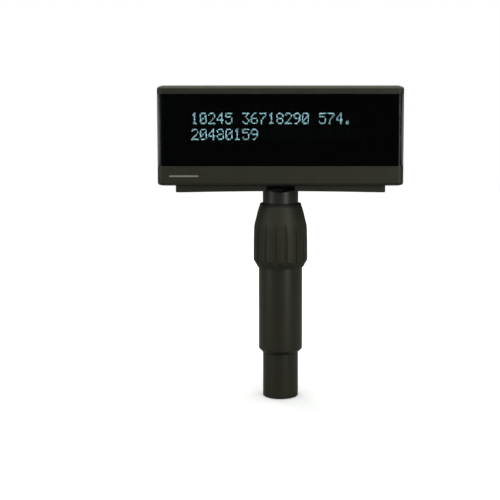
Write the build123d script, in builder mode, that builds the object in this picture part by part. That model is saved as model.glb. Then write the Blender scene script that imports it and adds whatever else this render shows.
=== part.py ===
"""Two-sided customer pole display: a tilting head with a vacuum fluorescent display on each face,
on a telescoping pole with a twist lock.

Frame: millimetres, +Z up. The origin is the centre of the pole's lower end face. X runs along the
head's width, and the front face looks along -Y. The rear half of the head is the front half turned
half a turn about Z.
"""

import os
from math import cos, radians, sin

from build123d import *

os.makedirs("parts", exist_ok=True)

# ---------------------------------------------------------------- driving dimensions
# Pole
TUBE_R = 15.1  # outer radius of both pole tubes
TUBE_WALL = 1.5
TUBE_BORE_R = TUBE_R - TUBE_WALL
LOWER_TUBE_TOP = 67.8
SLEEVE_R = 18.6
SLEEVE_BOTTOM = 37.9
SLEEVE_BEVEL = 3.3  # bevel round the sleeve's foot, with softened corners
SLEEVE_TOP = 150.0
SLEEVE_BORE_R = 16.6
SHOULDER_Z = SLEEVE_BOTTOM - 0.3  # above here the lower tube is turned down to enter the sleeve
SPIGOT_R = TUBE_R - 0.5
SOCKET_R = SPIGOT_R + 0.05  # lower socket that the lower tube is fixed in
LEDGE_BOTTOM = 68.0  # inner ledge between the socket and the wide bore
LEDGE_TOP = 73.9
GRUB_Z = 52.0
GRUB_R = 2.0
GRUB_ANGLES = (60, 120)

# Telescoping neck
NECK_BOTTOM = 83.2
NECK_TOP = 177.2
NECK_SCOOP_R = 26.0  # shallow scoop across the neck's front and rear rim
NECK_SCOOP_DEPTH = 1.5
STOP_TAB_Z = 80.1
STOP_HALF_ANGLE = 6.0  # half the angle that the stop tab and the stop peg each take
BUSH_FLANGE_BOTTOM = 74.0
BUSH_FLANGE_TOP = 80.0
BUSH_TOP = 92.0
BUSH_BORE_R = 10.0
CLIP_Z = 88.3
CLIP_THICKNESS = 1.6
FITTING_BOTTOM = 150.0
FITTING_TOP = 174.4
FITTING_PIN_Z = 157.0
FITTING_PIN_R = 1.5

# Twist lock
COLLET_BOTTOM = 128.0
COLLET_TOP = 157.0
COLLET_BORE_R = TUBE_R + 0.06
COLLET_SLITS = 8
RING_BOTTOM = 157.1
RING_TOP = 159.3
KNOB_BOTTOM = 111.7
KNOB_TOP = 163.8
KNOB_R = 22.95
KNOB_THREAD_R = SLEEVE_R + 0.12
KNOB_MOUTH_R = TUBE_R + 0.5
WIPER_R = 17.7  # flange of the black wiper ring over the knob's mouth
WIPER_SEAT_R = 16.4
WIPER_BOTTOM = 163.1
WIPER_TOP = 166.2
KNOB_FLUTES = 16
FLUTE_R = 1.35

# Head
HEAD_W = 202.6
HEAD_DEPTH = 55.0
FRONT_Y = -HEAD_DEPTH / 2
SEAM_Y = -0.5  # the front half's back edge; the mid frame fills the gap
FRONT_BOTTOM = 183.0
FRONT_TOP = 263.2
FLARE = 2.2  # how much further the top and bottom stand out at the seam
SEAM_BOTTOM = FRONT_BOTTOM - FLARE
SEAM_TOP = FRONT_TOP + FLARE
WALL = 2.2
CORNER_R = 5.0
EDGE_R = 2.3

# Lens, which wraps round both ends of the head
LENS_BOTTOM = 198.4
LENS_TOP = 257.2
LENS_T = 2.0
LENS_GAP = 0.2
WINDOW_END_Y = -13.2  # where the side window ends at its top and bottom corners
WINDOW_MID_Y = -10.0  # where it ends at mid height
LEDGE_T = 1.4
SHIELD_INSET = LENS_T + 0.3  # black foam mask that lines the lens
SHIELD_T = 1.2
SHIELD_H = 54.8
SHIELD_BACK_Y = -9.2

# Display tube, its board and light shield, in the front half
VFD_X = -4.0
VFD_Z = 230.9
VFD_W = 162.0
VFD_H = 36.0
VFD_FRONT_Y = -22.6
GLASS_T = 2.3
VFD_GAP = 3.0  # depth of the vacuum between the two glasses
CELL_W = 5.8
CELL_H = 9.5
CELL_PITCH = 7.05
LINE_PITCH = 13.2
COLUMNS = 20
LINES = 2
BOARD_W = 178.0
BOARD_BOTTOM = 188.5
BOARD_TOP = 261.2
BOARD_T = 1.6
BOARD_FRONT_Y = -13.4
BOARD_BACK_Y = BOARD_FRONT_Y + BOARD_T
BOARD_SCREW_X = 84.0
BOARD_SCREW_ZS = (193.5, 258.2)
BRACKET_SCREW_X = 70.0
BRACKET_SCREW_Y = 7.0
SCREW_R = 1.4
PEG_X = 96.4
PEG_ZS = (188.4, 258.6)
PEG_R = 2.0
BOARD_SCREWS = [(x, z) for x in (-BOARD_SCREW_X, BOARD_SCREW_X) for z in BOARD_SCREW_ZS]
PEGS = [(x, z) for x in (-PEG_X, PEG_X) for z in PEG_ZS]

# Components on the back of each driver board, as places in X and Z
CHIP_PLACES = ((-58, 238), (-22, 238), (20, 240))
CHIP_SIZE = 16
SMALL_CHIP_PLACE = (52, 222)
CAPACITOR_PLACES = ((66, 246), (66, 236), (-76, 214))
TRANSFORMER_PLACE = (46, 243)
CONNECTOR_PLACE = (-34, 204)
PIN_COUNT = 48
PIN_PITCH = 3.0

# Tilt bracket under the head
BRACKET_W = 174.2
BRACKET_D = 40.0
BRACKET_BOTTOM = 176.3
BRACKET_PLATE_Z = 178.4
BRACKET_ARCH = 1.0
SKIRT_T = 2.0
PIVOT_Z = 184.0
PIVOT_R = 2.0
BARREL_R = 8.0
BARREL_HALF_W = 12.3
LUG_INNER_X = 13.7
POCKET_HALF_X = 16.2
POCKET_HALF_Y = 17.6
POCKET_WALL = 2.0
OPENING_W = 46.0  # hole in the head's underside that the pocket rises through
NOTCH_HALF_X = 12.0  # the bracket's front and rear skirts are cut away this far each side of the neck
POCKET_TOP = 193.5
BOLT_END_R = 4.4  # room in the bracket for the bolt's head and nut
BOLT_END_L = 4.2
CABLE_Y = 11.3
CABLE_R = 4.2


def save(piece, name):
    """Labels a finished piece and writes it as one STEP file."""
    piece.label = name
    export_step(piece, f"parts/{name}.step")


def tube(bottom, top, outer_r, inner_r):
    """A plain round tube on the Z axis, for use inside a part's own block."""
    with BuildSketch(Plane.XY.offset(bottom)) as ring:
        Circle(outer_r)
        Circle(inner_r, mode=Mode.SUBTRACT)
    extrude(ring.sketch, amount=top - bottom)


def radial_cylinder(z, angle, radius, r_from, r_to, mode=Mode.ADD):
    """A cylinder along the radius at an angle from +X, from one radius to another."""
    direction = Vector(cos(radians(angle)), sin(radians(angle)), 0)
    with BuildSketch(Plane(origin=direction * r_from + Vector(0, 0, z), z_dir=direction)) as disc:
        Circle(radius)
    extrude(disc.sketch, amount=r_to - r_from, mode=mode)


# ---------------------------------------------------------------- pole
with BuildPart() as lower_tube:
    tube(0, SHOULDER_Z, TUBE_R, TUBE_BORE_R)
    tube(SHOULDER_Z, LOWER_TUBE_TOP, SPIGOT_R, TUBE_BORE_R)
save(lower_tube.part, "lower_tube")

with BuildPart() as sleeve:
    with BuildSketch(Plane.XZ):
        with BuildLine():
            Polyline(
                (SOCKET_R, SLEEVE_BOTTOM),
                (SLEEVE_R - SLEEVE_BEVEL, SLEEVE_BOTTOM),
                (SLEEVE_R - 0.3, SLEEVE_BOTTOM + SLEEVE_BEVEL - 0.4),
                (SLEEVE_R, SLEEVE_BOTTOM + SLEEVE_BEVEL + 0.3),
                (SLEEVE_R, SLEEVE_TOP),
                (SLEEVE_BORE_R + 0.9, SLEEVE_TOP),
                (SLEEVE_BORE_R, SLEEVE_TOP - 4),
                (SLEEVE_BORE_R, LEDGE_TOP),
                (TUBE_BORE_R, LEDGE_TOP),
                (TUBE_BORE_R, LEDGE_BOTTOM),
                (SOCKET_R, LEDGE_BOTTOM),
                close=True,
            )
        make_face()
    revolve(axis=Axis.Z)
    for angle in GRUB_ANGLES:
        radial_cylinder(GRUB_Z, angle, GRUB_R + 0.02, SOCKET_R - 1, SLEEVE_R + 2, Mode.SUBTRACT)
save(sleeve.part, "pole_sleeve")

with BuildPart() as grub_screws:
    for angle in GRUB_ANGLES:
        radial_cylinder(GRUB_Z, angle, GRUB_R, SOCKET_R, SLEEVE_R - 0.4)
        radial_cylinder(GRUB_Z, angle, GRUB_R / 2, SLEEVE_R - 1.6, SLEEVE_R, Mode.SUBTRACT)
save(grub_screws.part, "sleeve_grub_screws")

# ---------------------------------------------------------------- twist lock
with BuildPart() as collet:
    with BuildSketch(Plane.XZ):
        with BuildLine():
            Polyline(
                (COLLET_BORE_R, COLLET_BOTTOM),
                (SLEEVE_BORE_R - 0.08, COLLET_BOTTOM),
                (SLEEVE_BORE_R - 0.08, SLEEVE_TOP - 4),
                (SLEEVE_BORE_R + 0.75, SLEEVE_TOP),
                (SLEEVE_BORE_R + 0.75, COLLET_TOP),
                (COLLET_BORE_R, COLLET_TOP),
                close=True,
            )
        make_face()
    revolve(axis=Axis.Z)
    with BuildSketch(Plane.XY.offset(COLLET_BOTTOM + 6)):
        with PolarLocations(SLEEVE_BORE_R - 1, COLLET_SLITS):
            Rectangle(6, 1.2)
    extrude(amount=COLLET_TOP - COLLET_BOTTOM, mode=Mode.SUBTRACT)
save(collet.part, "clamp_collet")

with BuildPart() as thrust_ring:
    tube(RING_BOTTOM, RING_TOP, SLEEVE_BORE_R + 0.8, KNOB_MOUTH_R)
    chamfer(thrust_ring.edges(), 0.2)
save(thrust_ring.part, "thrust_ring")

with BuildPart() as knob:
    with BuildSketch(Plane.XZ):
        with BuildLine():
            body_line = Polyline(
                (KNOB_THREAD_R, KNOB_BOTTOM),
                (KNOB_R - 3.4, KNOB_BOTTOM),
                (KNOB_R - 2.9, KNOB_BOTTOM + 0.8),
                (KNOB_R - 2.3, KNOB_BOTTOM + 2.0),
                (KNOB_R, KNOB_BOTTOM + 5.9),
            )
            grip_line = Spline(
                body_line @ 1,
                (KNOB_R - 0.25, 141.9),
                (KNOB_R - 0.75, 148.0),
                (KNOB_R - 1.95, 152.8),
                (KNOB_R - 3.25, 158.3),
                (WIPER_SEAT_R + 1.9, KNOB_TOP - 0.7),
                tangents=((0, 1), (-0.26, 1)),
            )
            Polyline(
                grip_line @ 1,
                (WIPER_SEAT_R + 1.5, KNOB_TOP),
                (WIPER_SEAT_R, KNOB_TOP),
                (WIPER_SEAT_R, WIPER_BOTTOM),
                (KNOB_MOUTH_R, WIPER_BOTTOM),
                (KNOB_MOUTH_R, RING_TOP),
                (SLEEVE_BORE_R + 1.0, RING_TOP),
                (SLEEVE_BORE_R + 1.0, SLEEVE_TOP + 1.6),
                (KNOB_THREAD_R, SLEEVE_TOP + 1.6),
                (KNOB_THREAD_R, KNOB_BOTTOM),
            )
        make_face()
    revolve(axis=Axis.Z)
    with BuildSketch(Plane.XY.offset(KNOB_BOTTOM)):
        with PolarLocations(KNOB_R, KNOB_FLUTES, start_angle=180 / KNOB_FLUTES):
            Circle(FLUTE_R)
    extrude(amount=KNOB_TOP - KNOB_BOTTOM, mode=Mode.SUBTRACT)
save(knob.part, "locking_knob")

with BuildPart() as wiper:
    tube(WIPER_BOTTOM, KNOB_TOP + 0.02, WIPER_SEAT_R - 0.04, COLLET_BORE_R)
    tube(KNOB_TOP + 0.02, WIPER_TOP, WIPER_R, COLLET_BORE_R)
    fillet(wiper.edges().group_by(Axis.Z)[-1].sort_by(SortBy.RADIUS)[-1], 1.1)
save(wiper.part, "wiper_ring")

# ---------------------------------------------------------------- telescoping neck
with BuildPart() as neck_tube:
    tube(NECK_BOTTOM, NECK_TOP, TUBE_R, TUBE_BORE_R)
    with BuildSketch(Plane.XZ.offset(-TUBE_R - 2)):
        with Locations((0, NECK_TOP + NECK_SCOOP_R - NECK_SCOOP_DEPTH)):
            Circle(NECK_SCOOP_R)
    extrude(amount=2 * TUBE_R + 4, mode=Mode.SUBTRACT)
    tube(CLIP_Z - 1.1, CLIP_Z + 1.1, TUBE_R, TUBE_BORE_R)
    with BuildSketch(Plane.XY.offset(CLIP_Z - 1.1)):
        Circle(TUBE_BORE_R + 0.6)
    extrude(amount=2.2, mode=Mode.SUBTRACT)
    with BuildSketch(Plane.XY.offset(STOP_TAB_Z)) as stop_tab:
        Circle(TUBE_R)
        Circle(TUBE_BORE_R, mode=Mode.SUBTRACT)
        with Locations((0, TUBE_R)):
            Rectangle(2 * TUBE_R * sin(radians(STOP_HALF_ANGLE)), 8, mode=Mode.INTERSECT)
    extrude(amount=NECK_BOTTOM - STOP_TAB_Z)
    for angle in (0, 180):
        radial_cylinder(FITTING_PIN_Z, angle, FITTING_PIN_R + 0.02, 10, TUBE_R + 2, Mode.SUBTRACT)
save(neck_tube.part, "neck_tube")

with BuildPart() as guide_bush:
    tube(BUSH_FLANGE_BOTTOM, BUSH_FLANGE_TOP, SLEEVE_BORE_R - 0.1, BUSH_BORE_R)
    tube(BUSH_FLANGE_TOP, BUSH_TOP, TUBE_BORE_R - 0.08, BUSH_BORE_R)
    with BuildSketch(Plane.XY.offset(BUSH_FLANGE_TOP)):
        Circle(TUBE_R - 0.1)
        Circle(TUBE_BORE_R - 1, mode=Mode.SUBTRACT)
        with Locations((0, -TUBE_R)):
            Rectangle(2 * TUBE_R * sin(radians(STOP_HALF_ANGLE)), 8, mode=Mode.INTERSECT)
    extrude(amount=3)
    with BuildSketch(Plane.XY.offset(CLIP_Z - 0.9)):
        Circle(TUBE_R)
        Circle(TUBE_BORE_R - 0.9, mode=Mode.SUBTRACT)
    extrude(amount=1.8, mode=Mode.SUBTRACT)
save(guide_bush.part, "guide_bush")

with BuildPart() as snap_clip:
    with BuildSketch(Plane.XY.offset(CLIP_Z - CLIP_THICKNESS / 2)):
        Circle(TUBE_BORE_R + 0.45)
        Circle(TUBE_BORE_R - 0.8, mode=Mode.SUBTRACT)
        with Locations((0, TUBE_R)):
            Rectangle(9, 12, mode=Mode.SUBTRACT)
    extrude(amount=CLIP_THICKNESS)
save(snap_clip.part, "bush_snap_clip")

with BuildPart() as neck_fitting:
    with BuildSketch(Plane.XY.offset(FITTING_BOTTOM)):
        Circle(TUBE_BORE_R - 0.05)
    extrude(amount=FITTING_TOP - FITTING_BOTTOM)
    with BuildSketch(Plane.YZ.offset(-BARREL_HALF_W)):
        with Locations((0, PIVOT_Z)):
            Circle(BARREL_R)
        with Locations((0, (FITTING_TOP + PIVOT_Z) / 2 - 1)):
            Rectangle(11, PIVOT_Z - FITTING_TOP + 2)
    extrude(amount=2 * BARREL_HALF_W)
    with BuildSketch(Plane.XY.offset(FITTING_BOTTOM)):
        Circle(TUBE_BORE_R - 0.05)
    extrude(amount=PIVOT_Z + BARREL_R - FITTING_BOTTOM, mode=Mode.INTERSECT)
    with BuildSketch(Plane.YZ.offset(-TUBE_R)):
        with Locations((0, PIVOT_Z)):
            Circle(PIVOT_R + 0.08)
    extrude(amount=2 * TUBE_R, mode=Mode.SUBTRACT)
    with BuildSketch(Plane.XY.offset(FITTING_BOTTOM - 1)):
        with Locations((0, 9), (0, -9)):
            SlotOverall(13, 5)
    extrude(amount=FITTING_TOP - FITTING_BOTTOM + 2, mode=Mode.SUBTRACT)
    for angle in (0, 180):
        radial_cylinder(FITTING_PIN_Z, angle, FITTING_PIN_R + 0.02, 7, TUBE_R, Mode.SUBTRACT)
save(neck_fitting.part, "neck_fitting")

with BuildPart() as fitting_pins:
    for angle in (0, 180):
        radial_cylinder(FITTING_PIN_Z, angle, FITTING_PIN_R, 7.2, TUBE_R - 0.1)
save(fitting_pins.part, "neck_fitting_pins")

# ---------------------------------------------------------------- tilt bracket and pivot
pocket_outer_x = POCKET_HALF_X + POCKET_WALL
with BuildPart() as bracket:
    half_d = BRACKET_D / 2
    skirt_top = SEAM_BOTTOM + FLARE * (half_d + SEAM_Y) / (HEAD_DEPTH / 2 + SEAM_Y) - 0.15
    with BuildSketch(Plane.YZ.offset(-BRACKET_W / 2)):
        with BuildLine():
            Polyline(
                (-half_d, BRACKET_BOTTOM),
                (-half_d, skirt_top),
                (0, SEAM_BOTTOM - 0.15),
                (half_d, skirt_top),
                (half_d, BRACKET_BOTTOM),
                close=True,
            )
        make_face()
    extrude(amount=BRACKET_W)
    fillet(bracket.edges().filter_by(Axis.Z), 2.5)
    fillet(bracket.edges().group_by(Axis.Z)[0], 0.8)
    with BuildSketch(Plane.XY.offset(BRACKET_BOTTOM - 1)):
        RectangleRounded(BRACKET_W - 2 * SKIRT_T, BRACKET_D - 2 * SKIRT_T, 1.2)
    extrude(amount=BRACKET_PLATE_Z - BRACKET_BOTTOM + 1, mode=Mode.SUBTRACT)
    with BuildSketch(Plane.XZ.offset(-BRACKET_D)):
        with BuildLine():
            ThreePointArc((-82, BRACKET_BOTTOM), (0, BRACKET_BOTTOM + BRACKET_ARCH), (82, BRACKET_BOTTOM))
            Polyline((82, BRACKET_BOTTOM), (82, 170), (-82, 170), (-82, BRACKET_BOTTOM))
        make_face()
    extrude(amount=2 * BRACKET_D, mode=Mode.SUBTRACT)
    with BuildSketch(Plane.XY.offset(BRACKET_PLATE_Z)):
        RectangleRounded(2 * pocket_outer_x, 2 * (POCKET_HALF_Y + POCKET_WALL), 2)
    extrude(amount=POCKET_TOP + POCKET_WALL - BRACKET_PLATE_Z)
    with BuildSketch(Plane.XY.offset(BRACKET_BOTTOM - 1)):
        Rectangle(2 * POCKET_HALF_X, 2 * POCKET_HALF_Y)
    extrude(amount=POCKET_TOP - BRACKET_BOTTOM + 1, mode=Mode.SUBTRACT)
    with BuildSketch(Plane.XY.offset(BRACKET_BOTTOM - 1)):
        with Locations((0, POCKET_HALF_Y + 3), (0, -POCKET_HALF_Y - 3)):
            Rectangle(2 * NOTCH_HALF_X, 6)
    extrude(amount=skirt_top + 1.5 - BRACKET_BOTTOM, mode=Mode.SUBTRACT)
    with BuildSketch(Plane.XY.offset(PIVOT_Z - 4)):
        with Locations((-(LUG_INNER_X + 1.5), 0), (LUG_INNER_X + 1.5, 0)):
            Rectangle(3, 14)
    extrude(amount=POCKET_TOP - PIVOT_Z + 4.5)
    with BuildSketch(Plane.YZ.offset(-BRACKET_W / 2)):
        with Locations((0, PIVOT_Z)):
            Circle(PIVOT_R + 0.1)
    extrude(amount=BRACKET_W, mode=Mode.SUBTRACT)
    for start in (pocket_outer_x, -pocket_outer_x - BOLT_END_L):
        with BuildSketch(Plane.YZ.offset(start)):
            with Locations((0, PIVOT_Z)):
                Circle(BOLT_END_R)
        extrude(amount=BOLT_END_L, mode=Mode.SUBTRACT)
    with BuildSketch(Plane.XY.offset(POCKET_TOP - 1)):
        with Locations((0, CABLE_Y)):
            Circle(CABLE_R)
    extrude(amount=POCKET_WALL + 2, mode=Mode.SUBTRACT)
    with BuildSketch(Plane.XY.offset(BRACKET_BOTTOM)):
        with GridLocations(2 * BRACKET_SCREW_X, 2 * BRACKET_SCREW_Y, 2, 2):
            Circle(SCREW_R + 0.2)
    extrude(amount=8, mode=Mode.SUBTRACT)
save(bracket.part, "tilt_bracket")

with BuildPart() as bracket_screws:
    with BuildSketch(Plane.XY.offset(BRACKET_PLATE_Z - 1.2)):
        with GridLocations(2 * BRACKET_SCREW_X, 2 * BRACKET_SCREW_Y, 2, 2):
            Circle(3.0)
    extrude(amount=1.2)
    with BuildSketch(Plane.XY.offset(BRACKET_PLATE_Z)):
        with GridLocations(2 * BRACKET_SCREW_X, 2 * BRACKET_SCREW_Y, 2, 2):
            Circle(SCREW_R)
    extrude(amount=11)
    with BuildSketch(Plane.XY.offset(BRACKET_PLATE_Z - 1.2)):
        with GridLocations(2 * BRACKET_SCREW_X, 2 * BRACKET_SCREW_Y, 2, 2):
            Rectangle(3.2, 0.7)
            Rectangle(0.7, 3.2)
    extrude(amount=0.7, mode=Mode.SUBTRACT)
save(bracket_screws.part, "bracket_screws")

with BuildPart() as pivot_bolt:
    with BuildSketch(Plane.YZ.offset(-pocket_outer_x - 2.4)):
        with Locations((0, PIVOT_Z)):
            Circle(3.6)
    extrude(amount=2.4)
    with BuildSketch(Plane.YZ.offset(-pocket_outer_x)):
        with Locations((0, PIVOT_Z)):
            Circle(PIVOT_R)
    extrude(amount=2 * pocket_outer_x + 4)
    with BuildSketch(Plane.YZ.offset(-pocket_outer_x - 2.4)):
        with Locations((0, PIVOT_Z)):
            RegularPolygon(1.5, 6)
    extrude(amount=1.4, mode=Mode.SUBTRACT)
save(pivot_bolt.part, "pivot_bolt")

with BuildPart() as pivot_nut:
    with BuildSketch(Plane.YZ.offset(pocket_outer_x)):
        with Locations((0, PIVOT_Z)):
            RegularPolygon(4.0, 6)
            Circle(PIVOT_R + 0.03, mode=Mode.SUBTRACT)
    extrude(amount=3.2)
save(pivot_nut.part, "pivot_nut")

with BuildPart() as friction_washers:
    for start in (-LUG_INNER_X + 0.1, BARREL_HALF_W + 0.1):
        with BuildSketch(Plane.YZ.offset(start)):
            with Locations((0, PIVOT_Z)):
                Circle(4.6)
                Circle(PIVOT_R + 0.1, mode=Mode.SUBTRACT)
        extrude(amount=LUG_INNER_X - BARREL_HALF_W - 0.2)
save(friction_washers.part, "friction_washers")

with BuildPart() as grommet:
    with BuildSketch(Plane.XY.offset(POCKET_TOP - 1.1)):
        with Locations((0, CABLE_Y)):
            Circle(CABLE_R + 0.7)
    extrude(amount=POCKET_WALL + 2.2)
    with BuildSketch(Plane.XY.offset(POCKET_TOP - 0.02)):
        with Locations((0, CABLE_Y)):
            Circle(CABLE_R + 2)
            Circle(CABLE_R - 0.05, mode=Mode.SUBTRACT)
    extrude(amount=POCKET_WALL + 0.04, mode=Mode.SUBTRACT)
    with BuildSketch(Plane.XY.offset(POCKET_TOP - 2)):
        with Locations((0, CABLE_Y)):
            Circle(CABLE_R - 1.2)
    extrude(amount=POCKET_WALL + 4, mode=Mode.SUBTRACT)
save(grommet.part, "cable_grommet")

# ---------------------------------------------------------------- mid frame between the halves
FRAME_INSET = 0.7
FRAME_RAIL = 6.0
with BuildPart() as mid_frame:
    frame_z = (SEAM_BOTTOM + SEAM_TOP) / 2
    frame_h = SEAM_TOP - SEAM_BOTTOM - 2 * FRAME_INSET
    frame_w = HEAD_W - 2 * FRAME_INSET
    with BuildSketch(Plane.XZ.offset(SEAM_Y)):
        with Locations((0, frame_z)):
            RectangleRounded(frame_w, frame_h, EDGE_R - FRAME_INSET)
            RectangleRounded(frame_w - 2 * FRAME_RAIL, frame_h - 2 * FRAME_RAIL, 3, mode=Mode.SUBTRACT)
        with Locations((0, SEAM_BOTTOM)):
            Rectangle(OPENING_W, 4 * FRAME_RAIL, mode=Mode.SUBTRACT)
    extrude(amount=-2 * SEAM_Y)
    with BuildSketch(Plane.XZ.offset(-6)):
        with Locations(*PEGS):
            Circle(PEG_R)
    extrude(amount=12)
save(mid_frame.part, "mid_frame")


# ---------------------------------------------------------------- one half of the head
def end_profile(grow=0.0):
    """The lens's outline seen from the head's end: straight top and bottom, bowed inner edge."""
    low = LENS_BOTTOM - grow
    high = LENS_TOP + grow
    with BuildLine() as outline:
        Polyline((WINDOW_END_Y + grow, low), (-HEAD_DEPTH, low), (-HEAD_DEPTH, high), (WINDOW_END_Y + grow, high))
        ThreePointArc(
            (WINDOW_END_Y + grow, high), (WINDOW_MID_Y + grow, (low + high) / 2), (WINDOW_END_Y + grow, low)
        )
    make_face(outline.edges())


def plan_shell(outer_inset, inner_inset, back_y):
    """A wall that follows the head's front and both ends in plan, between two insets."""
    for inset, mode in ((outer_inset, Mode.ADD), (inner_inset, Mode.SUBTRACT)):
        front = FRONT_Y + inset
        half_w = HEAD_W / 2 - inset
        back = back_y if mode == Mode.ADD else back_y + 1
        with BuildLine() as outline:
            FilletPolyline(
                (-half_w, back), (-half_w, front), (half_w, front), (half_w, back), radius=CORNER_R - inset
            )
            Line((half_w, back), (-half_w, back))
        make_face(outline.edges(), mode=mode)


def head_block(inset, back_y):
    """The front half's outer form, or its cavity when inset: a wedge profile along the head's width."""
    slope = FLARE / (SEAM_Y - FRONT_Y)
    front = FRONT_Y + inset
    rise = slope * (back_y - FRONT_Y)
    nose = slope * inset
    with BuildSketch(Plane.YZ.offset(-HEAD_W / 2 + inset)) as wedge:
        with BuildLine():
            Polyline(
                (back_y, FRONT_BOTTOM + inset - rise),
                (front, FRONT_BOTTOM + inset - nose),
                (front, FRONT_TOP - inset + nose),
                (back_y, FRONT_TOP - inset + rise),
                close=True,
            )
        make_face()
    extrude(wedge.sketch, amount=HEAD_W - 2 * inset)


def build_half(side, turn):
    """Builds every piece of one half of the head in the front's place, turns it about Z and writes it."""

    def finish_piece(piece, name):
        save(piece.rotate(Axis.Z, turn), f"{side}_{name}")

    with BuildPart() as cavity:
        head_block(WALL, SEAM_Y + 1)
        fillet(cavity.edges().filter_by(Axis.Z).group_by(Axis.Y)[0], CORNER_R - WALL)

    with BuildPart() as housing:
        head_block(0, SEAM_Y)
        fillet(housing.edges().filter_by(Axis.Z).group_by(Axis.Y)[0], CORNER_R)
        outer_rim = [
            e for e in housing.edges() if e.center().Y < SEAM_Y - 0.1 and abs((e @ 1 - e @ 0).Z) < 2 * FLARE
        ]
        fillet(outer_rim, EDGE_R)
        add(cavity.part, mode=Mode.SUBTRACT)
        with BuildSketch(Plane.YZ.offset(-HEAD_W)):
            end_profile(grow=LENS_GAP)
        extrude(amount=2 * HEAD_W, mode=Mode.SUBTRACT)
        for ledge_z in (LENS_BOTTOM - 2, LENS_TOP - 1.5):
            with BuildSketch(Plane.XY.offset(ledge_z)):
                plan_shell(LENS_T + 0.1, LENS_T + 0.1 + LEDGE_T, -9)
            extrude(amount=3.5)
        with BuildSketch(Plane.XZ.offset(-FRONT_Y - LENS_T - 0.1)):
            with Locations(*BOARD_SCREWS):
                Circle(2.7)
        extrude(amount=-(BOARD_FRONT_Y - FRONT_Y - LENS_T - 0.1))
        with BuildSketch(Plane.XZ.offset(-BOARD_FRONT_Y)):
            with Locations(*BOARD_SCREWS):
                Circle(1.1)
        extrude(amount=8, mode=Mode.SUBTRACT)
        with BuildSketch(Plane.XY.offset(FRONT_BOTTOM - 0.6)):
            with Locations((-BRACKET_SCREW_X, -BRACKET_SCREW_Y), (BRACKET_SCREW_X, -BRACKET_SCREW_Y)):
                Circle(3.2)
        extrude(amount=9.6)
        with BuildSketch(Plane.XY.offset(SEAM_BOTTOM - 1)):
            with Locations((-BRACKET_SCREW_X, -BRACKET_SCREW_Y), (BRACKET_SCREW_X, -BRACKET_SCREW_Y)):
                Circle(SCREW_R + 0.05)
        extrude(amount=10.7, mode=Mode.SUBTRACT)
        with BuildSketch(Plane.XZ.offset(-SEAM_Y + 0.4)):
            with Locations(*PEGS):
                Circle(PEG_R + 1.6)
        extrude(amount=7.5)
        with BuildSketch(Plane.XZ.offset(-SEAM_Y)):
            with Locations(*PEGS):
                Circle(PEG_R + 0.06)
        extrude(amount=6.5, mode=Mode.SUBTRACT)
        with BuildSketch(Plane.XY.offset(SEAM_BOTTOM - 1)):
            Rectangle(OPENING_W, 2 * (POCKET_HALF_Y + POCKET_WALL) + 0.6)
        extrude(amount=6.5, mode=Mode.SUBTRACT)
    finish_piece(housing.part, "housing")

    with BuildPart() as lens:
        with BuildSketch(Plane.XY.offset(LENS_BOTTOM)):
            plan_shell(0, LENS_T, -5)
        extrude(amount=LENS_TOP - LENS_BOTTOM)
        with BuildSketch(Plane.YZ.offset(-HEAD_W)):
            end_profile()
        extrude(amount=2 * HEAD_W, mode=Mode.INTERSECT)
    finish_piece(lens.part, "lens")

    with BuildPart() as light_shield:
        with BuildSketch(Plane.XY.offset((LENS_BOTTOM + LENS_TOP - SHIELD_H) / 2)):
            plan_shell(SHIELD_INSET, SHIELD_INSET + SHIELD_T, SHIELD_BACK_Y)
        extrude(amount=SHIELD_H)
        with BuildSketch(Plane.XZ.offset(-VFD_FRONT_Y + 0.05)):
            with Locations((0, (LENS_BOTTOM + LENS_TOP) / 2)):
                Rectangle(HEAD_W - 2 * CORNER_R, SHIELD_H)
        extrude(amount=VFD_FRONT_Y - 0.05 - FRONT_Y - SHIELD_INSET)
        with BuildSketch(Plane.XZ.offset(-VFD_FRONT_Y - 1)):
            with Locations((VFD_X, VFD_Z)):
                RectangleRounded(VFD_W - 14, VFD_H - 8, 2)
        extrude(amount=10, mode=Mode.SUBTRACT)
    finish_piece(light_shield.part, "light_shield")

    with BuildPart() as tube_glass:
        with BuildSketch(Plane.XZ.offset(-VFD_FRONT_Y)):
            with Locations((VFD_X, VFD_Z)):
                Rectangle(VFD_W, VFD_H)
        extrude(amount=-(GLASS_T + VFD_GAP))
        chamfer(tube_glass.edges().group_by(Axis.Y)[0], 0.4)
        with BuildSketch(Plane.XZ.offset(-VFD_FRONT_Y - GLASS_T)):
            with Locations((VFD_X, VFD_Z)):
                Rectangle(VFD_W - 5, VFD_H - 5)
        extrude(amount=-4, mode=Mode.SUBTRACT)
    finish_piece(tube_glass.part, "display_cover_glass")

    base_y = VFD_FRONT_Y + GLASS_T + VFD_GAP
    with BuildPart() as base_glass:
        with BuildSketch(Plane.XZ.offset(-base_y)):
            with Locations((VFD_X, VFD_Z)):
                Rectangle(VFD_W, VFD_H)
        extrude(amount=-GLASS_T)
    finish_piece(base_glass.part, "display_anode_glass")

    with BuildPart() as grids:
        with BuildSketch(Plane.XZ.offset(-base_y)):
            with Locations((VFD_X, VFD_Z)):
                with GridLocations(CELL_PITCH, LINE_PITCH, COLUMNS, LINES):
                    Rectangle(CELL_W + 0.5, CELL_H + 0.7)
        extrude(amount=0.12)
    finish_piece(grids.part, "display_cells")

    with BuildPart() as filaments:
        with BuildSketch(Plane.YZ.offset(VFD_X - VFD_W / 2 + 6)):
            with Locations(*[(base_y - 1.6, VFD_Z + dz) for dz in (-10, -6, -2, 2, 6, 10)]):
                Rectangle(0.12, 0.12)
        extrude(amount=VFD_W - 12)
    finish_piece(filaments.part, "display_filaments")

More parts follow.
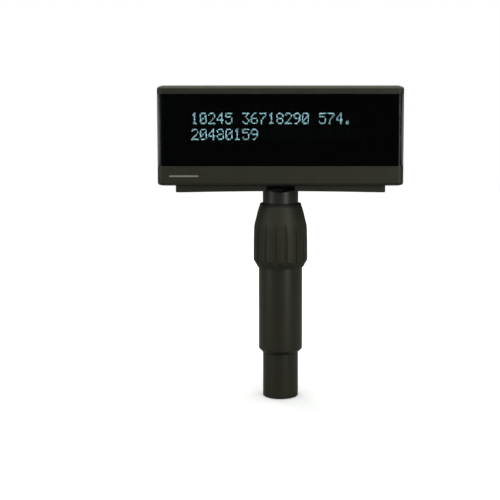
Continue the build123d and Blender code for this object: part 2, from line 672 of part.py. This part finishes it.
    with BuildPart() as pins:
        pin_z = VFD_Z - VFD_H / 2
        with BuildSketch(Plane.XY.offset(pin_z - 2.6)):
            with Locations((VFD_X, base_y + GLASS_T / 2)):
                with GridLocations(PIN_PITCH, 1, PIN_COUNT, 1):
                    Rectangle(0.5, 0.4)
        extrude(amount=2.6)
        with BuildSketch(Plane.XZ.offset(-base_y - GLASS_T / 2 + 0.2)):
            with Locations((VFD_X, pin_z - 2.8)):
                with GridLocations(PIN_PITCH, 1, PIN_COUNT, 1):
                    Rectangle(0.5, 0.4)
        extrude(amount=-(BOARD_FRONT_Y - base_y - GLASS_T / 2 + 0.2))
    finish_piece(pins.part, "display_pins")

    with BuildPart() as board:
        with BuildSketch(Plane.XZ.offset(-BOARD_FRONT_Y)):
            with Locations((0, (BOARD_BOTTOM + BOARD_TOP) / 2)):
                Rectangle(BOARD_W, BOARD_TOP - BOARD_BOTTOM)
            with Locations((0, BOARD_BOTTOM)):
                Rectangle(50, 20, mode=Mode.SUBTRACT)
            with Locations(*BOARD_SCREWS):
                Circle(1.6, mode=Mode.SUBTRACT)
        extrude(amount=-BOARD_T)
    finish_piece(board.part, "driver_board")

    with BuildPart() as board_screws:
        with BuildSketch(Plane.XZ.offset(-BOARD_BACK_Y)):
            with Locations(*BOARD_SCREWS):
                Circle(2.6)
        extrude(amount=-1.8)
        with BuildSketch(Plane.XZ.offset(-BOARD_BACK_Y)):
            with Locations(*BOARD_SCREWS):
                Circle(1.05)
        extrude(amount=BOARD_T + 7)
        with BuildSketch(Plane.XZ.offset(-BOARD_BACK_Y - 1.8)):
            with Locations(*BOARD_SCREWS):
                Rectangle(3, 0.6)
                Rectangle(0.6, 3)
        extrude(amount=0.9, mode=Mode.SUBTRACT)
    finish_piece(board_screws.part, "board_screws")

    with BuildPart() as chips:
        with BuildSketch(Plane.XZ.offset(-BOARD_BACK_Y)):
            with Locations(*CHIP_PLACES):
                Rectangle(CHIP_SIZE, CHIP_SIZE)
            with Locations(SMALL_CHIP_PLACE):
                Rectangle(12, 7)
        extrude(amount=-2.2)
        chamfer(chips.edges().group_by(Axis.Y)[-1], 0.35)
    finish_piece(chips.part, "driver_chips")

    with BuildPart() as capacitors:
        with BuildSketch(Plane.XZ.offset(-BOARD_BACK_Y)):
            with Locations(*CAPACITOR_PLACES):
                Circle(3.6)
        extrude(amount=-8.6)
        fillet(capacitors.edges().group_by(Axis.Y)[-1], 0.5)
    finish_piece(capacitors.part, "capacitors")

    with BuildPart() as transformer:
        with BuildSketch(Plane.XZ.offset(-BOARD_BACK_Y)):
            with Locations(TRANSFORMER_PLACE):
                RectangleRounded(15, 13, 1)
        extrude(amount=-3)
        with BuildSketch(Plane.XZ.offset(-BOARD_BACK_Y - 3)):
            with Locations(TRANSFORMER_PLACE):
                RectangleRounded(10, 12, 1)
        extrude(amount=-5.5)
    finish_piece(transformer.part, "power_transformer")

    with BuildPart() as connector:
        with BuildSketch(Plane.XZ.offset(-BOARD_BACK_Y)):
            with Locations(CONNECTOR_PLACE):
                Rectangle(22, 7)
        extrude(amount=-8)
        with BuildSketch(Plane.XZ.offset(-BOARD_BACK_Y - 8)):
            with Locations(CONNECTOR_PLACE):
                Rectangle(20, 5)
        extrude(amount=6.5, mode=Mode.SUBTRACT)
        with BuildSketch(Plane.XZ.offset(-BOARD_BACK_Y - 1.5)):
            with Locations(CONNECTOR_PLACE):
                with GridLocations(2.0, 1, 9, 1):
                    Rectangle(0.6, 0.6)
        extrude(amount=-5)
    finish_piece(connector.part, "data_connector")


for half_name, half_turn in (("front", 0), ("rear", 180)):
    build_half(half_name, half_turn)
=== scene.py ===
"""Looks for a two-sided customer pole display: materials, the lit text, camera and studio."""

import math

import bmesh
import bpy
from mathutils import Matrix, Vector


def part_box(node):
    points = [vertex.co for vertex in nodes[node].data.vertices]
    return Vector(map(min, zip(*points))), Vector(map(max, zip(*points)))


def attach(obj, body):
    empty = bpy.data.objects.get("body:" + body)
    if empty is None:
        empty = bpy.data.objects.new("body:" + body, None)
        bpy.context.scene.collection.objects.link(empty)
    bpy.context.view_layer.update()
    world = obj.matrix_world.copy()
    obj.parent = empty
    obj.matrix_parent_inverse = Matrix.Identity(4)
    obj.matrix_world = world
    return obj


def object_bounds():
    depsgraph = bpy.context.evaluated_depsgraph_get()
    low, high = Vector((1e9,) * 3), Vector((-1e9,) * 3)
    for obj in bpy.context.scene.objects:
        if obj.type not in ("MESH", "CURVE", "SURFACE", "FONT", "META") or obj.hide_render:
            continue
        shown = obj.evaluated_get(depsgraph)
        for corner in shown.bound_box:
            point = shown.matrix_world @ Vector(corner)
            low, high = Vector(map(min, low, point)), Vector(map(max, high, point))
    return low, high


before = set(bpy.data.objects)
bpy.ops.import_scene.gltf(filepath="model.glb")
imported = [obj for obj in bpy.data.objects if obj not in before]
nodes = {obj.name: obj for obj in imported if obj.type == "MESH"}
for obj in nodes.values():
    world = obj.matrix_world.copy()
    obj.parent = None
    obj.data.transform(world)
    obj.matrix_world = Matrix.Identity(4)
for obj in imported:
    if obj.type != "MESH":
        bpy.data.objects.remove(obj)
cad_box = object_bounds()

MM = 0.001

# ---------------------------------------------------------------- display text
# Two lines of a 20-column display, digits only.
TEXT = ("10245 36718290 574.", "20480159")
COLUMNS = 20
LINES = 2
CELL_W = 6.3 * MM
CELL_H = 10.2 * MM
DOT_COLUMNS = 5
DOT_ROWS = 7
DOT_PITCH_X = 1.19 * MM
DOT_PITCH_Z = 1.37 * MM
DOT_W = 1.05 * MM
DOT_H = 1.23 * MM
DOT_CORNER_CUT = 0.22  # of the dot's width and height
DOT_PROUD = 0.03 * MM
DOT_THICK = 0.02 * MM

FONT = {
    "0": (" ### ", "#   #", "#  ##", "# # #", "##  #", "#   #", " ### "),
    "1": ("  #  ", " ##  ", "  #  ", "  #  ", "  #  ", "  #  ", " ### "),
    "2": (" ### ", "#   #", "    #", "   # ", "  #  ", " #   ", "#####"),
    "3": ("#####", "   # ", "  #  ", "   # ", "    #", "#   #", " ### "),
    "4": ("   # ", "  ## ", " # # ", "#  # ", "#####", "   # ", "   # "),
    "5": ("#####", "#    ", "#### ", "    #", "    #", "#   #", " ### "),
    "6": ("  ## ", " #   ", "#    ", "#### ", "#   #", "#   #", " ### "),
    "7": ("#####", "    #", "   # ", "  #  ", " #   ", " #   ", " #   "),
    "8": (" ### ", "#   #", "#   #", " ### ", "#   #", "#   #", " ### "),
    "9": (" ### ", "#   #", "#   #", " ####", "    #", "   # ", " ##  "),
    ".": ("     ", "     ", "     ", "     ", "     ", " ##  ", " ##  "),
    " ": ("     ",) * DOT_ROWS,
}


# ---------------------------------------------------------------- shared helpers
def add_object(name, data):
    """Links a new object to the scene."""
    made = bpy.data.objects.new(name, data)
    bpy.context.scene.collection.objects.link(made)
    return made


def mesh_from(name, bm):
    """A mesh with what bm holds; bm is freed."""
    mesh = bpy.data.meshes.new(name)
    bm.to_mesh(mesh)
    bm.free()
    return mesh


def shade(colour, factor):
    """The colour made darker or paler, never past white."""
    return tuple(min(c * factor, 1) for c in colour)


# ---------------------------------------------------------------- material helpers
class Recipe:
    """A material with one Principled shader, and short ways to add the nodes that feed it."""

    def __init__(self, name, **sockets):
        self.material = bpy.data.materials.new(name)
        self.material.use_nodes = True
        self.tree = self.material.node_tree
        self.shader = self.tree.nodes["Principled BSDF"]
        self.place = self.node("ShaderNodeTexCoord").outputs["Object"]
        for socket, value in sockets.items():
            self.shader.inputs[socket.replace("_", " ")].default_value = value

    def node(self, kind, **settings):
        made = self.tree.nodes.new(kind)
        for key, value in settings.items():
            setattr(made, key, value)
        return made

    def link(self, source, target):
        self.tree.links.new(source, target)

    def noise(self, size, detail=2.0, stretch=(1, 1, 1), roughness=0.5):
        """Noise whose blotches are about size metres across, stretched along each axis."""
        mapping = self.node("ShaderNodeMapping")
        mapping.inputs["Scale"].default_value = [1 / (size * s) for s in stretch]
        self.link(self.place, mapping.inputs["Vector"])
        noise = self.node("ShaderNodeTexNoise")
        noise.inputs["Scale"].default_value = 1.0
        noise.inputs["Detail"].default_value = detail
        noise.inputs["Roughness"].default_value = roughness
        self.link(mapping.outputs["Vector"], noise.inputs["Vector"])
        return noise.outputs["Fac"]

    def spread(self, source, low, high, start=0.0, end=1.0):
        """Maps source from start..end to low..high."""
        spread = self.node("ShaderNodeMapRange")
        spread.inputs["From Min"].default_value = start
        spread.inputs["From Max"].default_value = end
        spread.inputs["To Min"].default_value = low
        spread.inputs["To Max"].default_value = high
        self.link(source, spread.inputs["Value"])
        return spread.outputs["Result"]

    def mix(self, factor, first, second):
        """A colour between two, each a colour or an output, by an output."""
        mix = self.node("ShaderNodeMix", data_type="RGBA")
        self.link(factor, mix.inputs[0])
        for socket, colour in ((mix.inputs[6], first), (mix.inputs[7], second)):
            if isinstance(colour, bpy.types.NodeSocket):
                self.link(colour, socket)
            else:
                socket.default_value = (*colour, 1)
        return mix.outputs[2]

    def cell_edges(self, density, randomness, inner, outer):
        """1 on the lines between cells, density of them to a metre, fading to 0 inside them."""
        mapping = self.node("ShaderNodeMapping")
        mapping.inputs["Scale"].default_value = density
        self.link(self.place, mapping.inputs["Vector"])
        cells = self.node("ShaderNodeTexVoronoi", feature="DISTANCE_TO_EDGE")
        cells.inputs["Scale"].default_value = 1.0
        cells.inputs["Randomness"].default_value = randomness
        self.link(mapping.outputs["Vector"], cells.inputs["Vector"])
        return self.spread(cells.outputs["Distance"], 1, 0, inner, outer)

    def worn_edge(self, radius):
        """1 along sharp edges, where a rounded normal leaves the flat one, and 0 elsewhere."""
        bevel = self.node("ShaderNodeBevel", samples=6)
        bevel.inputs["Radius"].default_value = radius
        geometry = self.node("ShaderNodeNewGeometry")
        facing = self.node("ShaderNodeVectorMath", operation="DOT_PRODUCT")
        self.link(bevel.outputs["Normal"], facing.inputs[0])
        self.link(geometry.outputs["Normal"], facing.inputs[1])
        return self.spread(facing.outputs["Value"], 1, 0, 0.7, 0.97)

    def bump(self, source, depth, bevel=0.0):
        """Bump of the given depth in metres, over edges softened by the bevel radius."""
        bump = self.node("ShaderNodeBump")
        bump.inputs["Strength"].default_value = 1.0
        bump.inputs["Distance"].default_value = depth
        self.link(source, bump.inputs["Height"])
        if bevel:
            soft = self.node("ShaderNodeBevel", samples=4)
            soft.inputs["Radius"].default_value = bevel
            self.link(soft.outputs["Normal"], bump.inputs["Normal"])
        self.link(bump.outputs["Normal"], self.shader.inputs["Normal"])

    def feed(self, socket, source):
        """Links an output to an input of the shader."""
        self.link(source, self.shader.inputs[socket])


def moulded_plastic(name, colour, roughness, grain=0.45 * MM, wear=1.5):
    """Spark-eroded plastic: fine pitted grain, slight blotches, edges rubbed a little paler."""
    r = Recipe(name, Specular_IOR_Level=0.42)
    tone = r.noise(26 * MM, detail=4)
    pits = r.noise(grain, detail=3, roughness=0.6)
    base = r.mix(r.spread(tone, 0, 1, 0.3, 0.7), shade(colour, 0.9), shade(colour, 1.12))
    base = r.mix(r.spread(pits, 0.0, 0.16, 0.35, 0.75), base, shade(colour, 1.7))
    r.feed("Base Color", r.mix(r.worn_edge(0.5 * MM), base, shade(colour, wear)))
    patches = r.noise(9 * MM, detail=5)
    r.feed("Roughness", r.spread(patches, roughness - 0.05, roughness + 0.07, 0.3, 0.7))
    r.bump(pits, 0.012 * MM, bevel=0.25 * MM)
    return r.material


def coated_tube(name, colour, roughness):
    """Powder-coated tube: very fine orange peel, with faint rub marks round the tube."""
    r = Recipe(name, Specular_IOR_Level=0.5, Coat_Weight=0.15, Coat_Roughness=0.3)
    peel = r.noise(0.7 * MM, detail=2)
    rub = r.noise(6 * MM, detail=6, stretch=(1, 1, 0.12), roughness=0.65)
    tone = r.noise(30 * MM, detail=3)
    base = r.mix(r.spread(tone, 0, 1, 0.3, 0.7), shade(colour, 0.92), shade(colour, 1.1))
    base = r.mix(r.spread(rub, 0.0, 0.35, 0.55, 0.8), base, shade(colour, 1.35))
    r.feed("Base Color", r.mix(r.worn_edge(0.4 * MM), base, shade(colour, 2.0)))
    r.feed("Roughness", r.spread(rub, roughness - 0.05, roughness + 0.08, 0.3, 0.7))
    r.bump(peel, 0.01 * MM, bevel=0.25 * MM)
    return r.material


def painted_bend_light(r):
    """1 where the lens turns the head's corners, where blue-green light is painted, and 0 on its
    flat faces.
    """
    low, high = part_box("front_lens")
    away = r.node("ShaderNodeSeparateXYZ")
    r.link(r.place, away.inputs[0])
    bends = []
    side_bend = (0, high.x - 6 * MM, high.x - 2 * MM)
    face_bend = (1, -low.y - 7 * MM, -low.y - 3 * MM)
    for axis, start, end in (side_bend, face_bend):
        size = r.node("ShaderNodeMath", operation="ABSOLUTE")
        r.link(away.outputs[axis], size.inputs[0])
        bends.append(r.spread(size.outputs[0], 0, 1, start, end))
    both_ways = r.node("ShaderNodeMath", operation="MULTIPLY")
    for index in (0, 1):
        r.link(bends[index], both_ways.inputs[index])
    return both_ways.outputs[0]


def smoked_lens():
    """Smoked acrylic with painted blue-green light at its bends: polished, wiped, clear enough
    for lit text.
    """
    r = Recipe("smoked_lens", IOR=1.49, Specular_IOR_Level=0.3, Alpha=0.66)
    tint = r.spread(r.noise(60 * MM, detail=2), 0, 1, 0.35, 0.65)
    flat = r.mix(tint, (0.0012, 0.0014, 0.0013), (0.0015, 0.0021, 0.0020))
    # Painted light: the base colour turns blue-green where the lens bends round the corners.
    r.feed("Base Color", r.mix(painted_bend_light(r), flat, (0.0024, 0.0095, 0.013)))
    wipes = r.noise(4 * MM, detail=6, stretch=(6, 6, 0.5), roughness=0.7)
    r.feed("Roughness", r.spread(wipes, 0.03, 0.075, 0.35, 0.75))
    r.bump(r.noise(35 * MM, detail=1), 0.02 * MM, bevel=0.35 * MM)
    return r.material


def display_glass():
    """Clear float glass of the display tube's cover, a little green."""
    r = Recipe("display_glass", IOR=1.5, Alpha=0.1)
    tint = r.noise(40 * MM, detail=1)
    r.feed("Base Color", r.mix(tint, (0.02, 0.045, 0.04), (0.03, 0.06, 0.05)))
    r.feed("Roughness", r.spread(r.noise(12 * MM, detail=4), 0.02, 0.06))
    return r.material


def anode_glass():
    """Glass plate behind the cells, coated with a dark insulating layer and faint wiring."""
    r = Recipe("anode_glass")
    lines = r.node("ShaderNodeTexWave", wave_type="BANDS", bands_direction="X")
    lines.inputs["Scale"].default_value = 110.0
    r.link(r.place, lines.inputs["Vector"])
    wiring = r.spread(lines.outputs["Fac"], 0, 1, 0.8, 1)
    r.feed("Base Color", r.mix(wiring, (0.008, 0.009, 0.010), (0.03, 0.031, 0.03)))
    r.feed("Roughness", r.spread(r.noise(5 * MM, detail=4), 0.28, 0.45))
    return r.material


def grid_cells():
    """Fine etched grid over each character cell: grey metal honeycomb over dark glass."""
    r = Recipe("grid_cells", Metallic=0.3)
    wires = r.cell_edges((1 / (0.55 * MM),) * 3, 0.12, 0.04, 0.1)
    r.feed("Base Color", r.mix(wires, (0.008, 0.011, 0.012), (0.04, 0.045, 0.045)))
    r.feed("Roughness", r.spread(wires, 0.6, 0.35))
    return r.material


def glowing_dots(name, colour, strength, phosphor):
    """Phosphor dots that glow, a little unevenly from dot to dot: the lit ones by their own
    light, the unlit ones with a faint painted glow.
    """
    r = Recipe(name, Roughness=0.8)
    uneven = r.noise(1.3 * MM, detail=1)
    r.feed("Base Color", r.mix(uneven, shade(phosphor, 0.8), phosphor))
    r.feed("Emission Color", r.mix(uneven, shade(colour, 0.82), colour))
    r.shader.inputs["Emission Strength"].default_value = strength
    return r.material


def plain_metal(name, colour, roughness):
    """Bright or blackened small metal parts with fine tool marks."""
    r = Recipe(name, Metallic=1.0)
    marks = r.noise(0.6 * MM, detail=5, roughness=0.7)
    r.feed("Base Color", r.mix(marks, shade(colour, 0.75), shade(colour, 1.15)))
    r.feed("Roughness", r.spread(marks, roughness - 0.08, roughness + 0.12))
    r.bump(marks, 0.006 * MM, bevel=0.15 * MM)
    return r.material


def plain_polymer(name, colour, roughness, blotch=8 * MM):
    """Small plastic, rubber or epoxy parts with slight tone changes and a soft surface."""
    r = Recipe(name, Specular_IOR_Level=0.4)
    tone = r.noise(blotch, detail=4)
    r.feed("Base Color", r.mix(tone, shade(colour, 0.85), shade(colour, 1.15)))
    r.feed("Roughness", r.spread(tone, roughness - 0.06, roughness + 0.08))
    r.bump(r.noise(0.4 * MM, detail=2), 0.006 * MM, bevel=0.15 * MM)
    return r.material


def circuit_board():
    """Green solder mask over copper tracks, with bare pads."""
    r = Recipe("circuit_board", Roughness=0.35, Coat_Weight=0.4, Coat_Roughness=0.15)
    copper = r.cell_edges((1 / (2.6 * MM), 1.0, 1 / (1.7 * MM)), 0.7, 0.05, 0.12)
    r.feed("Base Color", r.mix(copper, (0.006, 0.055, 0.02), (0.02, 0.12, 0.045)))
    r.bump(copper, 0.03 * MM)
    return r.material


def paint(material, *names):
    """Gives CAD nodes a material in every slot of their mesh."""
    for name in names:
        mesh = nodes[name].data
        if not mesh.materials:
            mesh.materials.append(material)
        for index in range(len(mesh.materials)):
            mesh.materials[index] = material


def both(*names):
    """The front and rear node of each name."""
    return [f"{side}_{name}" for side in ("front", "rear") for name in names]


# ---------------------------------------------------------------- materials on the CAD nodes
CHARCOAL = (0.0278, 0.0284, 0.0172)
TUBE_BLACK = (0.0175, 0.0170, 0.0088)
# The neck's colour is the tubes' coating made paler: painted light that brightens the neck.
NECK_PAINTED_LIGHT_BLACK = (0.0270, 0.0265, 0.0180)
KNOB_BLACK = (0.0235, 0.0235, 0.0130)
DEEP_BLACK = (0.035, 0.036, 0.026)

paint(moulded_plastic("head_plastic", CHARCOAL, 0.46), *both("housing"))
paint(moulded_plastic("knob_plastic", KNOB_BLACK, 0.5, grain=0.6 * MM, wear=1.8), "locking_knob")
paint(moulded_plastic("bracket_plastic", DEEP_BLACK, 0.5), "tilt_bracket")
paint(coated_tube("tube_coating", TUBE_BLACK, 0.33), "lower_tube", "pole_sleeve")
paint(coated_tube("neck_coating_painted_light", NECK_PAINTED_LIGHT_BLACK, 0.33), "neck_tube")
paint(smoked_lens(), *both("lens"))
paint(display_glass(), *both("display_cover_glass"))
paint(anode_glass(), *both("display_anode_glass"))
paint(grid_cells(), *both("display_cells"))
paint(
    plain_polymer("seam_rubber", (0.008, 0.008, 0.008), 0.6),
    "mid_frame", "cable_grommet", "wiper_ring",
)
paint(plain_polymer("shield_foam", (0.003, 0.003, 0.003), 0.9, 2 * MM), *both("light_shield"))
paint(
    plain_polymer("acetal", (0.5, 0.48, 0.43), 0.4),
    "clamp_collet", "thrust_ring", "guide_bush", "friction_washers",
)
paint(plain_polymer("chip_epoxy", (0.02, 0.02, 0.021), 0.55), *both("driver_chips"))
paint(plain_polymer("capacitor_sleeve", (0.015, 0.02, 0.07), 0.3), *both("capacitors"))
paint(plain_polymer("transformer_tape", (0.4, 0.26, 0.03), 0.35), *both("power_transformer"))
paint(plain_polymer("connector_nylon", (0.55, 0.52, 0.45), 0.45), *both("data_connector"))
paint(circuit_board(), *both("driver_board"))
paint(plain_metal("black_casting", (0.06, 0.06, 0.062), 0.5), "neck_fitting")
paint(
    plain_metal("black_steel", (0.07, 0.07, 0.07), 0.4),
    "bracket_screws", "sleeve_grub_screws", "neck_fitting_pins",
)
paint(
    plain_metal("zinc_steel", (0.55, 0.56, 0.56), 0.35),
    "pivot_bolt", "pivot_nut", "bush_snap_clip", *both("board_screws", "display_pins"),
)
paint(plain_metal("filament_wire", (0.2, 0.2, 0.2), 0.4), *both("display_filaments"))


# ---------------------------------------------------------------- lit and unlit dots
def dot_centres():
    """Yields the centre of every dot of one face in the front's place, and whether it is lit."""
    low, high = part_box("front_display_cells")
    pitch_x = (high.x - low.x - CELL_W) / (COLUMNS - 1)
    pitch_z = (high.z - low.z - CELL_H) / (LINES - 1)
    for line in range(LINES):
        text = TEXT[line].ljust(COLUMNS)
        for column in range(COLUMNS):
            middle_x = low.x + CELL_W / 2 + column * pitch_x
            middle_z = high.z - CELL_H / 2 - line * pitch_z
            for row, dots in enumerate(FONT[text[column]]):
                for across, mark in enumerate(dots):
                    x = middle_x + (across - (DOT_COLUMNS - 1) / 2) * DOT_PITCH_X
                    z = middle_z - (row - (DOT_ROWS - 1) / 2) * DOT_PITCH_Z
                    yield Vector((x, low.y - DOT_PROUD, z)), mark == "#"


def dot_mesh(name, centres, material):
    """One mesh of small eight-sided phosphor dots that face -Y."""
    bm = bmesh.new()
    flat = 0.5 - DOT_CORNER_CUT
    outline = []
    for sx, sz in ((-1, -1), (1, -1), (1, 1), (-1, 1)):
        corner = [(sx * flat, sz * 0.5), (sx * 0.5, sz * flat)]
        outline += corner if sx * sz > 0 else corner[::-1]
    for centre in centres:
        ring = [bm.verts.new(centre + Vector((u * DOT_W, 0, w * DOT_H))) for u, w in outline]
        bm.faces.new(ring)
    bmesh.ops.recalc_face_normals(bm, faces=bm.faces)
    for face in bm.faces:
        if face.normal.y > 0:
            face.normal_flip()
    thick = bmesh.ops.extrude_face_region(bm, geom=bm.faces[:])
    moved = [v for v in thick["geom"] if isinstance(v, bmesh.types.BMVert)]
    bmesh.ops.translate(bm, verts=moved, vec=(0, -DOT_THICK, 0))
    mesh = mesh_from(name, bm)
    mesh.materials.append(material)
    return add_object(name, mesh)


# The turn that takes a shape made on the front face to each face.
FACES = (("front", Matrix.Identity(4)), ("rear", Matrix.Rotation(math.pi, 4, "Z")))

lit = glowing_dots("lit_phosphor", (0.52, 0.92, 1.0), 5.9, (0.3, 0.4, 0.42))
# The unlit dots glow faintly: a painted glow that stands in for room light thrown back by them.
unlit = glowing_dots("unlit_phosphor_painted_glow", (0.3, 0.5, 0.6), 0.02, (0.14, 0.16, 0.165))
for side, turn in FACES:
    for state, material in (("lit", lit), ("unlit", unlit)):
        centres = [c for c, on in dot_centres() if on == (state == "lit")]
        dots = dot_mesh(f"{side}_{state}_dots", centres, material)
        dots.data.transform(turn)
        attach(dots, "head")


# ---------------------------------------------------------------- printed mark
BAR_LENGTH = 24 * MM
BAR_HEIGHT = 1.3 * MM
BAR_IN = 22 * MM  # from the housing's side to the bar's middle
BAR_RISE = 0.6 * MM  # above the middle of the strip under the lens
BAR_PROUD = 0.004 * MM
BAR_END_STEPS = 10


def printed_bar(side, turn, ink):
    """A plain pale bar printed low on the left of each bezel."""
    low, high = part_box("front_housing")
    lens_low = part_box("front_lens")[0].z
    centre = Vector((low.x + BAR_IN, low.y - BAR_PROUD, (low.z + lens_low) / 2 + BAR_RISE))
    radius = BAR_HEIGHT / 2
    bm = bmesh.new()
    ring = []
    for end in (1, -1):
        for step in range(BAR_END_STEPS + 1):
            angle = end * math.pi / 2 - math.pi * step / BAR_END_STEPS
            x = end * (BAR_LENGTH / 2 - radius) + math.cos(angle) * radius
            ring.append(bm.verts.new(centre + Vector((x, 0, math.sin(angle) * radius))))
    face = bm.faces.new(ring)
    face.normal_update()
    if face.normal.y > 0:
        face.normal_flip()
    mesh = mesh_from(f"{side}_printed_bar", bm)
    mesh.transform(turn)
    mesh.materials.append(ink)
    bar = add_object(mesh.name, mesh)
    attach(bar, "head")


print_ink = plain_polymer("print_ink", (0.3, 0.3, 0.28), 0.6, 3 * MM)
for side, turn in FACES:
    printed_bar(side, turn, print_ink)


# ---------------------------------------------------------------- camera
CAMERA_DISTANCE = 0.750  # from the head's front face
CAMERA_HEIGHT = 0.229
CAMERA_PITCH = 4.7  # degrees below level
CAMERA_LENS = 65.9  # millimetres, for a sensor 36 mm wide
CAMERA_SHIFT = (-0.061, -0.092)  # of the picture's width

camera_data = bpy.data.cameras.new("camera")
camera_data.sensor_width = 36
camera_data.lens = CAMERA_LENS
camera_data.shift_x, camera_data.shift_y = CAMERA_SHIFT
camera = add_object("camera", camera_data)
camera.location = (0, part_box("front_housing")[0].y - CAMERA_DISTANCE, CAMERA_HEIGHT)
camera.rotation_euler = (math.radians(90 - CAMERA_PITCH), 0, 0)
bpy.context.scene.camera = camera


# ---------------------------------------------------------------- studio
CEILING_STRENGTH = 3.5
CEILING_SPREAD = math.radians(100)
CEILING_COLOUR = (1.0, 0.985, 0.91)
ROOM_STRENGTH = 0.035
BOX_AIM = (0, 0, 0.18)
NEAR_BOX_PLACE = (1.05, -1.42)
NEAR_BOX_SIZE = (0.7, 1.4)
FAR_BOX_PLACE = (-1.5, -0.8)
FAR_BOX_SIZE = (0.9, 1.4)
FAR_BOX_COLOUR = (0.93, 0.98, 1)
FLOOR_RADIUS = 2.6
FLOOR_GAP = 0.5 * MM


def softbox(name, place, size, power, colour=(1, 1, 1)):
    """A soft rectangular light aimed at the middle of the object."""
    data = bpy.data.lights.new(name, "AREA")
    data.shape = "RECTANGLE"
    data.size, data.size_y = size
    data.energy = power
    data.color = colour
    light = add_object(name, data)
    light.location = place
    light.rotation_euler = (Vector(BOX_AIM) - Vector(place)).to_track_quat("-Z", "Y").to_euler()


def floor():
    """A wide pale floor that the pole's end stands on."""
    bm = bmesh.new()
    bmesh.ops.create_circle(bm, cap_ends=True, segments=96, radius=FLOOR_RADIUS)
    mesh = mesh_from("floor", bm)
    r = Recipe("floor_paper", Roughness=0.9)
    paper = r.mix(r.noise(0.5), (0.92, 0.94, 0.99), (0.95, 0.97, 1.0))
    path = r.node("ShaderNodeLightPath")
    r.feed("Base Color", r.mix(path.outputs["Is Camera Ray"], (0.16, 0.16, 0.15), paper))
    mesh.materials.append(r.material)
    piece = add_object("floor", mesh)
    piece.location.z = cad_box[0].z - FLOOR_GAP


def studio_world():
    """White behind the object, and a dimmer white room for its light and reflections."""
    world = bpy.data.worlds.new("studio")
    world.use_nodes = True
    tree = world.node_tree
    room = tree.nodes["Background"]
    seen = tree.nodes.new("ShaderNodeBackground")
    for background, strength in ((room, ROOM_STRENGTH), (seen, 1.0)):
        background.inputs["Color"].default_value = (1, 1, 1, 1)
        background.inputs["Strength"].default_value = strength
    path = tree.nodes.new("ShaderNodeLightPath")
    mix = tree.nodes.new("ShaderNodeMixShader")
    tree.links.new(path.outputs["Is Camera Ray"], mix.inputs[0])
    tree.links.new(room.outputs[0], mix.inputs[1])
    tree.links.new(seen.outputs[0], mix.inputs[2])
    tree.links.new(mix.outputs[0], tree.nodes["World Output"].inputs["Surface"])
    bpy.context.scene.world = world


def ceiling_light():
    """A very wide, slightly warm light from straight above."""
    data = bpy.data.lights.new("ceiling_light", "SUN")
    data.energy = CEILING_STRENGTH
    data.angle = CEILING_SPREAD
    data.color = CEILING_COLOUR
    add_object("ceiling_light", data)


floor()
studio_world()
ceiling_light()
# Each face of the head has a near box half right of it and a far box at its left; the rear ones
# hang higher, so that they don't catch the edges of the round parts from behind.
for side, turn, height, near_power, far_power in (
    ("front", 1, 0.45, 10, 6),
    ("rear", -1, 1.3, 8, 5),
):
    near = (NEAR_BOX_PLACE[0] * turn, NEAR_BOX_PLACE[1] * turn, height)
    far = (FAR_BOX_PLACE[0] * turn, FAR_BOX_PLACE[1] * turn, height)
    softbox(f"{side}_near_box", near, NEAR_BOX_SIZE, near_power)
    softbox(f"{side}_far_box", far, FAR_BOX_SIZE, far_power, FAR_BOX_COLOUR)
bpy.context.scene.view_settings.view_transform = "Standard"
